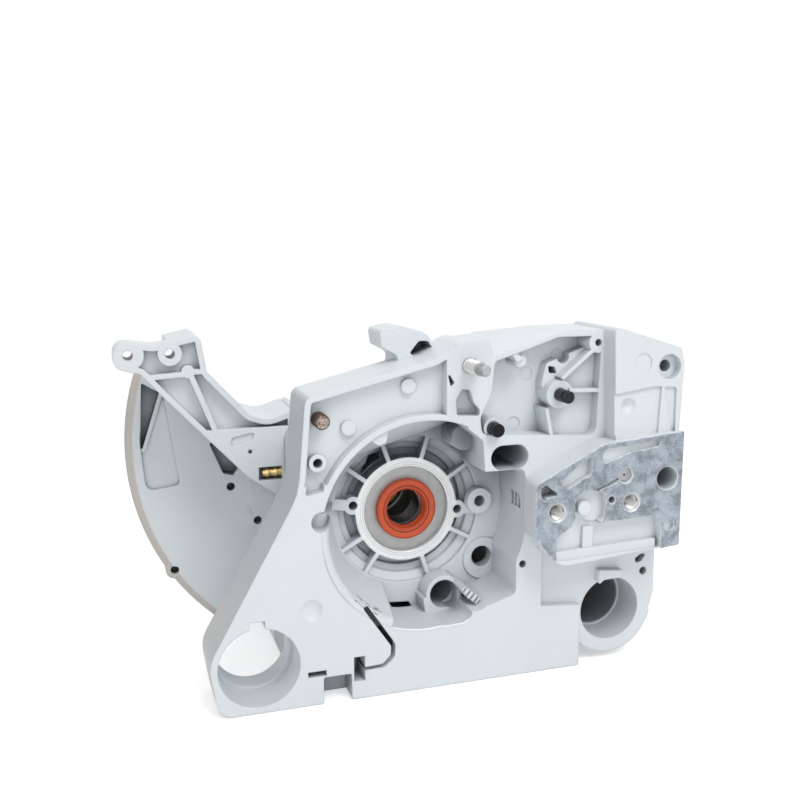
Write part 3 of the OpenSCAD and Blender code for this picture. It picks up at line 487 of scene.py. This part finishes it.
class CRANKCASE_OT_stage(bpy.types.Operator):
    """Pale floor, soft lamps and the camera"""

    bl_idname = "crankcase.stage"
    bl_label = "Stage"

    def execute(self, context):
        stage = settings().stage
        scene = context.scene
        scene.view_settings.view_transform = "Standard"
        self.sky(scene, stage.sky)
        self.floor()
        for name, (at, aim, size) in LAMPS.items():
            area_lamp(name + "_lamp", at, aim, size, getattr(stage, name))
        data = bpy.data.cameras.new("photo_camera")
        data.sensor_fit = "HORIZONTAL"
        data.sensor_width = 36
        data.lens = stage.lens
        data.clip_start = 0.01
        camera = bpy.data.objects.new("photo_camera", data)
        right, up, back = view_axes(stage.azimuth, stage.elevation, stage.roll)
        camera.matrix_world = Matrix.Translation(Vector(stage.camera_at)) @ Matrix(
            (right, up, back)
        ).transposed().to_4x4()
        scene.collection.objects.link(camera)
        scene.camera = camera
        return {"FINISHED"}

    def sky(self, scene, level):
        """White where it is seen or mirrored, and dimmer as a light."""
        world = bpy.data.worlds.new("studio")
        world.use_nodes = True
        tree = world.node_tree
        tree.nodes.clear()
        path = tree.nodes.new("ShaderNodeLightPath").outputs
        seen = path["Is Camera Ray"]
        for ray in ("Is Glossy Ray", "Is Transmission Ray"):
            either = tree.nodes.new("ShaderNodeMath")
            either.operation = "MAXIMUM"
            tree.links.new(seen, either.inputs[0])
            tree.links.new(path[ray], either.inputs[1])
            seen = either.outputs[0]
        strength = tree.nodes.new("ShaderNodeMapRange")
        strength.inputs["To Min"].default_value = level
        strength.inputs["To Max"].default_value = 1.0
        background = tree.nodes.new("ShaderNodeBackground")
        background.inputs["Color"].default_value = WHITE
        out = tree.nodes.new("ShaderNodeOutputWorld")
        tree.links.new(seen, strength.inputs["Value"])
        tree.links.new(strength.outputs["Result"], background.inputs["Strength"])
        tree.links.new(background.outputs[0], out.inputs["Surface"])
        scene.world = world

    def floor(self):
        """Floor that shows the part's shadow and fades to the white behind it."""
        mesh = bpy.data.meshes.new("floor")
        bm = bmesh.new()
        bmesh.ops.create_grid(bm, x_segments=1, y_segments=1, size=3)
        bmesh.ops.translate(bm, verts=bm.verts, vec=(0, 0, BASE_Z - 0.1 * MM))
        bm.to_mesh(mesh)
        bm.free()
        floor = bpy.data.objects.new("floor", mesh)
        bpy.context.scene.collection.objects.link(floor)
        look = Finish("floor_white")
        path = look.add("ShaderNodeLightPath").outputs
        seen = look.math("MAXIMUM", path["Is Camera Ray"], path["Is Glossy Ray"])
        # Far from the part the floor is plain white, so that no horizon shows
        far = look.ramp(look.from_axis_z(), *FLOOR_FADE)
        look.finish(
            Base_Color=look.blend(look.times(far, seen), FLOOR_PALE, BLACK),
            Roughness=0.9, Specular_IOR_Level=0.0, Emission_Color=WHITE,
            Emission_Strength=look.times(seen, look.lerp(far, 0.48, 1.0)),
        )
        mesh.materials.append(look.material)


def bare_chamber(look, colour, rough):
    """Bare, oily metal on the walls of the crank chamber, darkened as painted shade."""
    bare = look.times(
        look.math("LESS_THAN", look.from_axis(Vector()), CHAMBER_R),
        look.math("GREATER_THAN", look.axes["Y"], CHAMBER_Y[0]),
        look.math("LESS_THAN", look.axes["Y"], CHAMBER_Y[1]),
    )
    # Oily bare metal, darkened further as painted shade
    oil_and_shade = look.blend(look.noise(6 * MM, 5), CHAMBER_OIL_AND_SHADE_DARK, CHAMBER_OIL_AND_SHADE_PALE)
    return look.blend(bare, colour, oil_and_shade), look.lerp(bare, rough, 0.3), bare


def paint_look(look, casting, warm_reflection=None, calm=None):
    """Powder coat: orange peel, faint mottling, paler edges that are partly rubbed wear and partly
    painted highlight, and painted shade in corners and deep holes.

    Its warm share paints tan reflected light on the paint, and its calm share weakens the painted
    shade in deep places.
    """
    mottle = look.noise(22 * MM, 4)
    cloud = look.noise(5 * MM, 3)
    colour = look.blend(mottle, shade(casting.paint, 0.955), shade(casting.paint, 1.035))
    colour = look.blend(look.times(cloud, 0.35), colour, shade(casting.paint, 1.05))
    # Painted tan reflected light where the warm share asks for it
    if warm_reflection:
        colour = look.blend(warm_reflection, colour, rgb(casting.warm_reflection))
    edges = look.edge_share(casting.fillet)
    # Paler edges: partly rubbed wear, partly painted highlight
    colour = look.blend(look.times(edges, 0.55), colour, RUBBED_AND_HIGHLIGHT)
    # Painted shade darkens corners and deep holes
    corners = look.times(look.crevice(4 * MM, 0.6, 0.2), 0.3)
    holes = look.times(look.crevice(30 * MM, 0.3, 0.05), 0.9)
    if calm:
        holes = look.times(holes, look.lerp(calm, 1.0, 0.15))
    colour = look.blend(look.math("MAXIMUM", corners, holes), colour, rgb(casting.shadow))
    peel = look.noise(casting.grain, 4, 0.6)
    coarse = look.noise(6 * MM, 2)
    height = look.math("ADD", look.times(peel, 0.6), look.times(coarse, 0.4))
    rough = look.lerp(cloud, 0.34, 0.5)
    return colour, rough, height


class CRANKCASE_OT_castings(bpy.types.Operator):
    """Powder coat on both halves, with the milled and turned faces bare"""

    bl_idname = "crankcase.castings"
    bl_label = "Castings"

    def execute(self, context):
        casting = settings().casting
        dress(["clutch_side_half"], self.clutch_side(casting))
        dress(["fan_side_half"], self.fan_side(casting))
        gasket = Finish("gasket_sheet")
        fibre = gasket.noise(1.5 * MM, 6)
        colour = gasket.blend(fibre, GASKET_DARK, GASKET_PALE)
        gasket.finish(Base_Color=colour, Roughness=0.85, Normal=gasket.bump(fibre, 0.1 * MM))
        dress(["crankcase_gasket"], gasket.material)
        return {"FINISHED"}

    def clutch_side(self, casting):
        """Near half: paint with its worn and grimy places, painted shade and highlight, and the
        bare faces.
        """
        look = Finish("clutch_casting")
        rim = look.from_axis(Vector())
        # Near the slot the painted shade in deep places is weaker
        colour, rough, height = paint_look(look, casting, calm=look.near(SLOT_AT, 22 * MM))
        colour = self.left_wall(look, colour)
        colour = self.worn_rim_and_step_shade(look, colour, rim)
        colour = self.cavity_shadow_and_grime(look, colour, rim)
        colour = self.front_bore(look, colour)

        # Bare faces: the milled pad, its tapped holes and the ring round the seal
        pad = look.on_plane(PAD_Y)
        metal, cutter = self.milled(look, casting)
        holes = self.tapped_holes(look)
        boss = look.times(look.on_plane(SEAL_Y), look.math("LESS_THAN", rim, TURNED_R))
        colour = look.blend(pad, colour, metal)
        colour = look.blend(holes, colour, TAPPED)
        colour = look.blend(boss, colour, self.turned(look, casting, rim))
        bare = look.math("MAXIMUM", pad, holes)
        metallic = look.times(look.math("MAXIMUM", bare, boss), 0.6)
        rough = look.lerp(bare, rough, look.lerp(cutter, 0.4, 0.6))
        colour, rough, oily = bare_chamber(look, colour, rough)
        metallic = look.math("MAXIMUM", metallic, look.times(oily, 0.5))
        height = look.lerp(bare, height, look.times(cutter, 0.45))
        return look.finish(
            Base_Color=colour, Roughness=rough, Metallic=metallic, Specular_IOR_Level=0.45,
            Normal=look.bump(height, 0.09 * MM, look.soft_edges(casting.fillet)),
        )

    def left_wall(self, look, colour):
        """Outer wall at the left: painted shade on its left-facing side, warmer towards its foot.
        """
        bore = look.from_axis(place("rear_buffer_bore"))
        outer = look.math("GREATER_THAN", bore, radius("rear_buffer_bore") + 1 * MM)
        outer = look.times(outer, look.ramp(look.axes["X"], *LEFT_WALL_X))
        # Painted shade on the left-facing side, warmer towards the foot
        wall = look.times(outer, look.ramp(look.facing("X"), -0.25, -0.65), 0.6)
        foot = look.ramp(look.axes["Z"], *LEFT_FOOT_Z)
        return look.blend(wall, colour, look.blend(foot, WALL_SHADE, WALL_SHADE_FOOT))

    def worn_rim_and_step_shade(self, look, colour, rim):
        """Scuffs and thin flash lines on the cavity's rim, and a painted shade line for the step
        beside it.
        """
        streaks = look.noise(2.2 * MM, 4, 0.65, (1.0, 0.3, 1.0))
        below = look.ramp(look.axes["Y"], FACE_Y + 0.3 * MM, FACE_Y + 1.5 * MM)
        worn = look.near(SCUFFS_AT, 9 * MM)
        scuffs = look.times(look.ramp(streaks, 0.42, 0.66), worn, below)
        waver = look.lerp(look.noise(3 * MM, 3), -0.9 * MM, 0.9 * MM)
        pair = ((CAVITY_R - 2.6 * MM, 0.22 * MM), (CAVITY_R - 4.2 * MM, 0.3 * MM))
        broken = look.ramp(look.noise(2 * MM, 3), 0.4, 0.52)
        rings = look.rings(look.math("ADD", rim, waver), pair)
        lines = look.times(rings, look.near(FLASH_AT, 12 * MM), broken)
        beside = look.times(look.near(STEP_AT, 17 * MM), look.on_plane(FACE_Y))
        # Painted shade: a darker line on the flat face where the step is
        step = look.times(look.ring(rim, CAVITY_R, 0.5 * MM), beside)
        colour = look.blend(look.times(scuffs, 0.75), colour, SCUFF_TONE)
        colour = look.blend(look.times(lines, 0.75), colour, FLASH_TONE)
        return look.blend(look.times(step, 0.5), colour, STEP_SHADE)

    def cavity_shadow_and_grime(self, look, colour, rim):
        """Painted shadow, with some grime, in the upper part of the cavity, thinner on its ceiling.
        """
        hollow = look.times(
            look.math("LESS_THAN", rim, CAVITY_R + 3 * MM),
            look.ramp(look.axes["Y"], FACE_Y + 3 * MM, FACE_Y + 14 * MM),
        )
        high = look.lerp(look.ramp(look.axes["Z"], *CAVITY_SHADOW_Z), 0.08, 1.0)
        ceiling = look.lerp(look.ramp(look.facing("Z"), -0.75, -0.35), 0.4, 1.0)
        patches = look.lerp(look.noise(9 * MM, 4), 0.7, 1.1)
        # Painted shadow, with some grime: darker higher up and in hollows
        shadow_and_grime = look.times(hollow, high, ceiling, look.crevice(20 * MM, 1.0, 0.5), patches, 0.95)
        return look.blend(shadow_and_grime, colour, CAVITY_SHADOW_AND_GRIME)

    def front_bore(self, look, colour):
        """Painted shade in the deep inner half of the front bore."""
        bore = look.from_axis(place("front_buffer_bore"))
        inside = look.math("LESS_THAN", bore, radius("front_buffer_bore") - 1 * MM)
        # Painted shade: the bore turns dark with depth
        deep = look.times(inside, look.ramp(look.axes["Y"], *FRONT_BORE_SHADE_Y), 0.8)
        return look.blend(deep, colour, FRONT_BORE_SHADE)

    def turned(self, look, casting, rim):
        """Colour of the ring turned round the seal, with its grooves."""
        haze = look.noise(3 * MM, 4)
        tone = look.blend(haze, shade(casting.ring, 0.9), shade(casting.ring, 1.1))
        grooves = look.times(look.rings(rim, TURNED_GROOVES), 0.55)
        return look.blend(grooves, tone, TURNED_GROOVE_TONE)

    def tapped_holes(self, look):
        """1 on the walls of the two bar stud holes in the pad."""
        rear, front = (
            look.math("LESS_THAN", look.from_axis(place(name)), radius(name) + 1 * MM)
            for name in STUD_HOLES
        )
        near = look.math("LESS_THAN", look.axes["Y"], PAD_Y + HOLE_DEPTH)
        return look.times(look.math("MAXIMUM", rear, front), near)

    def milled(self, look, casting):
        """Milled pad: blotched, with pale arcs, specks and nicked edges, and the cutter's grain."""
        stain = look.noise(8 * MM, 6, 0.7)
        dark, pale = shade(casting.machined, 0.72), shade(casting.machined, 1.3)
        metal = look.blend(look.ramp(stain, 0.38, 0.62), dark, pale)
        cells = look.add(
            "ShaderNodeTexVoronoi", {"feature": "SMOOTH_F1"}, Vector=look.coordinates,
            Scale=1 / (7 * MM), Smoothness=0.6,
        ).outputs["Distance"]
        front = look.ramp(look.axes["X"], *PAD_FRONT_X)
        arcs = look.times(look.ramp(cells, 0.5, 0.3), front)
        metal = look.blend(look.times(arcs, 0.45), metal, shade(casting.machined, 1.5))
        speck = look.ramp(look.noise(0.9 * MM, 4, 0.75), 0.54, 0.68)
        metal = look.blend(look.times(speck, 0.55), metal, SPECKS)
        worn = look.ramp(look.noise(2.2 * MM, 4), 0.4, 0.6)
        metal = look.blend(look.times(look.edge_share(0.8 * MM), worn), metal, NICKS)
        cutter = look.noise(0.7 * MM, 4, 0.7, (1.0, 1.0, 0.16))
        return metal, cutter

    def fan_side(self, casting):
        """Far half: paint, with painted warm reflected light on the plate's edge and its shaded
        pockets.
        """
        look = Finish("fan_casting")
        # Painted warm reflected light turns the plate's drafted edge tan
        edge = look.ramp(look.from_axis(PLATE_CENTRE), *PLATE_EDGE)
        drafted = look.ramp(look.axes["Y"], FAR_Y - 5 * MM, FAR_Y - 3.6 * MM)
        left = look.ramp(look.axes["X"], *PLATE_LEFT_X)
        colour, rough, height = paint_look(look, casting, look.times(edge, drafted, left, 0.7))
        colour, rough, oily = bare_chamber(look, colour, rough)
        # Pockets and screw holes behind the plate's face lie in shadow
        behind = look.ramp(look.axes["Y"], PLATE_Y + 0.5 * MM, PLATE_Y + 3 * MM)
        rear = look.math("LESS_THAN", look.axes["X"], -60 * MM)
        shut = look.times(behind, rear, look.crevice(12 * MM, 0.62, 0.36), 0.9)
        colour = look.blend(shut, colour, PLATE_SHADE)
        return look.finish(
            Base_Color=colour, Roughness=rough, Metallic=look.times(oily, 0.5),
            Specular_IOR_Level=0.45,
            Normal=look.bump(height, 0.09 * MM, look.soft_edges(casting.fillet)),
        )


def steel_look(name, colour, rough, ring_size, bump, spots=None, ribs=0, bore=0, end=None):
    """Turned metal with fine rings about the crank axis.

    Ribs are spaced along the axis by their pitch, and their troughs are darkened as painted shade.
    The spots' tone flecks the metal, or with an end it covers the cut face there. Inside a bore's
    radius the metal is darkened as painted shade.
    """
    look = Finish(name)
    rings = look.add(
        "ShaderNodeTexWave", {"wave_type": "RINGS", "rings_direction": "Y"},
        Vector=look.coordinates, Scale=1 / ring_size, Distortion=1.2, Detail=3.0,
    ).outputs["Fac"]
    haze = look.noise(4 * MM, 5)
    tone = look.blend(haze, shade(colour, 0.82), shade(colour, 1.18))
    if spots and end is None:
        tone = look.blend(look.ramp(look.noise(1.6 * MM, 4), 0.56, 0.7), tone, spots)
    if bore:
        # Painted shade darkens the inside of a bore
        inside = look.ramp(look.from_axis(Vector()), bore + 0.2 * MM, bore)
        tone = look.blend(look.times(inside, 0.85), tone, BORE_INSIDE_SHADE)
    normal = look.bump(rings, bump, look.soft_edges(0.25 * MM))
    if ribs:
        turn = look.times(look.axes["Y"], math.tau / ribs)
        rib = look.math("MULTIPLY_ADD", look.math("SINE", turn), 0.5, 0.5)
        normal = look.bump(look.ramp(rib, 0.1, 0.5), 0.2 * MM, normal)
        # Painted shade in the troughs between the ribs
        tone = look.blend(look.ramp(rib, 0.3, 0.05), tone, shade(colour, 0.35))
    if end is not None:
        grit = look.ramp(look.noise(0.9 * MM, 4, 0.7), 0.38, 0.62)
        cut = look.blend(grit, shade(colour, 1.0), spots)
        tone = look.blend(look.on_plane(end, 0.3 * MM), tone, cut)
    return look.finish(
        Base_Color=tone, Metallic=0.9, Normal=normal,
        Roughness=look.lerp(haze, rough, rough + 0.16),
    )


class CRANKCASE_OT_bearings(bpy.types.Operator):
    """Ground rings, balls and brass cages of the two main bearings"""

    bl_idname = "crankcase.bearings"
    bl_label = "Main bearings"

    def execute(self, context):
        metal = settings().metal
        ring = steel_look("bearing_steel", metal.steel, 0.22, 0.5 * MM, 0.01 * MM, bore=BORE_R)
        cage = steel_look("cage_brass", metal.brass, 0.32, 0.8 * MM, 0.02 * MM)
        for side in ("clutch", "fan"):
            name = side + "_bearing_"
            dress([name + "outer_ring", name + "inner_ring", name + "balls"], ring)
            dress([name + "cage"], cage)
        return {"FINISHED"}


class CRANKCASE_OT_seals(bpy.types.Operator):
    """Orange rubber seals, their springs and the steel disc round the near one"""

    bl_idname = "crankcase.seals"
    bl_label = "Shaft seals"

    def execute(self, context):
        metal = settings().metal
        look = Finish("seal_rubber")
        bloom = look.noise(3 * MM, 5)
        tone = look.blend(bloom, shade(metal.seal, 0.86), shade(metal.seal, 1.16))
        dust = look.ramp(look.noise(1.1 * MM, 3), 0.62, 0.78)
        tone = look.blend(look.times(dust, 0.25), tone, SEAL_BLOOM)
        away = look.from_axis(Vector())
        groove = look.rings(away, SEAL_GROOVES)
        tone = look.blend(look.times(groove, 0.7), tone, SEAL_GROOVE_TONE)
        bead = look.math("SUBTRACT", look.ring(away, *SEAL_BEAD), groove)
        pores = look.bump(look.noise(0.5 * MM, 3), 0.03 * MM, look.soft_edges(0.3 * MM))
        look.finish(
            Base_Color=tone, Roughness=look.lerp(bloom, 0.36, 0.52), Specular_IOR_Level=0.4,
            Normal=look.bump(bead, 0.3 * MM, pores),
        )
        dress(["clutch_side_seal", "fan_side_seal"], look.material)
        disc = steel_look("disc_steel", shade(metal.steel, 0.82), 0.36, 0.9 * MM, 0.025 * MM)
        dress(["seal_carrier_disc", "clutch_seal_spring", "fan_seal_spring"], disc)
        return {"FINISHED"}


class CRANKCASE_OT_fittings(bpy.types.Operator):
    """Finishes of the studs, pins, screws, sleeves, nipple and plug"""

    bl_idname = "crankcase.fittings"
    bl_label = "Small fittings"

    def execute(self, context):
        metal = settings().metal
        zinc = steel_look("zinc_steel", metal.zinc, 0.28, 0.6 * MM, 0.03 * MM, ZINC_SPOTS)
        black = steel_look("black_steel", metal.black, 0.26, 0.6 * MM, 0.03 * MM, ribs=1.1 * MM)
        rust = steel_look(
            "rusty_steel", metal.rust, 0.5, 0.6 * MM, 0.05 * MM, RUST_END,
            ribs=1.0 * MM, end=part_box("rear_cover_stud")[0].y,
        )
        brass = steel_look("nipple_brass", metal.brass, 0.2, 0.6 * MM, 0.01 * MM)
        dress(["brake_band_stud", "crankcase_screws", "locating_sleeves", "oil_passage_plug"], zinc)
        dress(["brake_lever_pin", "brake_spring_pin"], black)
        dress(["rear_cover_stud"], rust)
        dress(["impulse_nipple"], brass)
        return {"FINISHED"}


def keep(name, bm, material):
    """Turns a bmesh into a piece that rides with the case."""
    bmesh.ops.recalc_face_normals(bm, faces=bm.faces)
    mesh = bpy.data.meshes.new(name)
    bm.to_mesh(mesh)
    bm.free()
    mesh.materials.append(material)
    for face in mesh.polygons:
        face.use_smooth = True
    mesh.set_sharp_from_angle(angle=math.radians(40))
    piece = bpy.data.objects.new(name, mesh)
    bpy.context.scene.collection.objects.link(piece)
    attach(piece, "case")


def thread(at, root, crest, y0, y1, pitch, sides):
    """Helical ridge about a line along the crank axis, from root to crest radius."""
    bm = bmesh.new()
    section = ((root, 0), (crest, 0.34 * pitch), (crest, 0.5 * pitch), (root, 0.84 * pitch))
    verts = [bm.verts.new((at.x + r, y0 + rise, at.z)) for r, rise in section]
    start = bm.faces.new(verts)
    turns = (y1 - y0 - pitch) / pitch
    steps = int(turns * sides)
    grown = bmesh.ops.spin(
        bm, geom=list(start.edges), cent=(at.x, 0, at.z), axis=(0, 1, 0),
        dvec=(0, turns * pitch / steps, 0), angle=turns * math.tau, steps=steps,
        use_merge=False, use_normal_flip=False, use_duplicate=False,
    )
    ends = [e for e in grown["geom_last"] if isinstance(e, bmesh.types.BMEdge)]
    bmesh.ops.holes_fill(bm, edges=ends, sides=4)
    return bm


class CRANKCASE_OT_threads(bpy.types.Operator):
    """Threads on the band stud and in the bar stud holes"""

    bl_idname = "crankcase.threads"
    bl_label = "Threads"

    def execute(self, context):
        sizes = settings().thread
        zinc = bpy.data.materials["zinc_steel"]
        stud, shank = place("band_stud_shank"), radius("band_stud_shank")
        keep(
            "band_stud_thread",
            thread(stud, shank - ROOT_SUNK, shank + STUD_CREST, *STUD_ENDS,
                   sizes.fine, sizes.sides),
            zinc,
        )
        for name in STUD_HOLES:
            wall = radius(name)
            keep(
                name + "_thread",
                thread(place(name), wall + ROOT_SUNK, wall - HOLE_CREST, *HOLE_ENDS,
                       sizes.coarse, sizes.sides),
                zinc,
            )
        return {"FINISHED"}


def rim_line(start, stop):
    """Points of the cavity's rim on the machined face, between two angles."""
    mesh = NODES["clutch_side_half"].data
    uses = {}
    for face in mesh.polygons:
        if abs(face.center.y - FACE_Y) < 0.02 * MM and abs(face.normal.y) > 0.99:
            for key in face.edge_keys:
                uses[key] = uses.get(key, 0) + 1
    line = {}
    for key in (key for key, count in uses.items() if count == 1):
        for index in key:
            at = mesh.vertices[index].co
            turn = math.atan2(at.z, at.x)
            if start < turn < stop and 0.88 * CAVITY_R < math.hypot(at.x, at.z) < 1.1 * CAVITY_R:
                line[round(turn, 3)] = at.copy()
    return [line[turn] for turn in sorted(line)]


class CRANKCASE_OT_cast_details(bpy.types.Operator):
    """Thin raised flash along the cavity's lower rim"""

    bl_idname = "crankcase.cast_details"
    bl_label = "Cast details"

    def execute(self, context):
        points = rim_line(*FLASH_ENDS)
        if len(points) < 4:
            raise RuntimeError("the cavity's rim wasn't found on the machined face")
        data = bpy.data.curves.new("rim_flash", "CURVE")
        data.dimensions = "3D"
        data.bevel_depth = FLASH_R
        data.bevel_resolution = 2
        data.use_fill_caps = True
        spline = data.splines.new("POLY")
        spline.points.add(len(points) - 1)
        for point, at in zip(spline.points, points):
            point.co = (at.x, at.y, at.z, 1)
        data.materials.append(bpy.data.materials["clutch_casting"])
        piece = bpy.data.objects.new("rim_flash", data)
        context.scene.collection.objects.link(piece)
        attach(piece, "case")
        return {"FINISHED"}


class CRANKCASE_PT_panel(bpy.types.Panel):
    """Lists the part's steps in the sidebar"""

    bl_label = "Crankcase"
    bl_space_type = "VIEW_3D"
    bl_region_type = "UI"
    bl_category = "Crankcase"

    def draw(self, context):
        for operator in OPERATORS:
            self.layout.operator(operator.bl_idname)


OPERATORS = (
    CRANKCASE_OT_stage,
    CRANKCASE_OT_castings,
    CRANKCASE_OT_bearings,
    CRANKCASE_OT_seals,
    CRANKCASE_OT_fittings,
    CRANKCASE_OT_threads,
    CRANKCASE_OT_cast_details,
)
CLASSES = (
    CastingFinish, MetalFinish, ThreadSizes, StageSetup, CrankcaseSettings,
    *OPERATORS, CRANKCASE_PT_panel,
)


def register():
    for item in CLASSES:
        bpy.utils.register_class(item)
    bpy.types.Scene.crankcase = PointerProperty(type=CrankcaseSettings)


def unregister():
    del bpy.types.Scene.crankcase
    for item in reversed(CLASSES):
        bpy.utils.unregister_class(item)


def main():
    """Registers the add-on and builds every piece in order."""
    register()
    for operator in OPERATORS:
        getattr(bpy.ops.crankcase, operator.bl_idname.split(".")[1])()


if __name__ == "__main__":
    main()
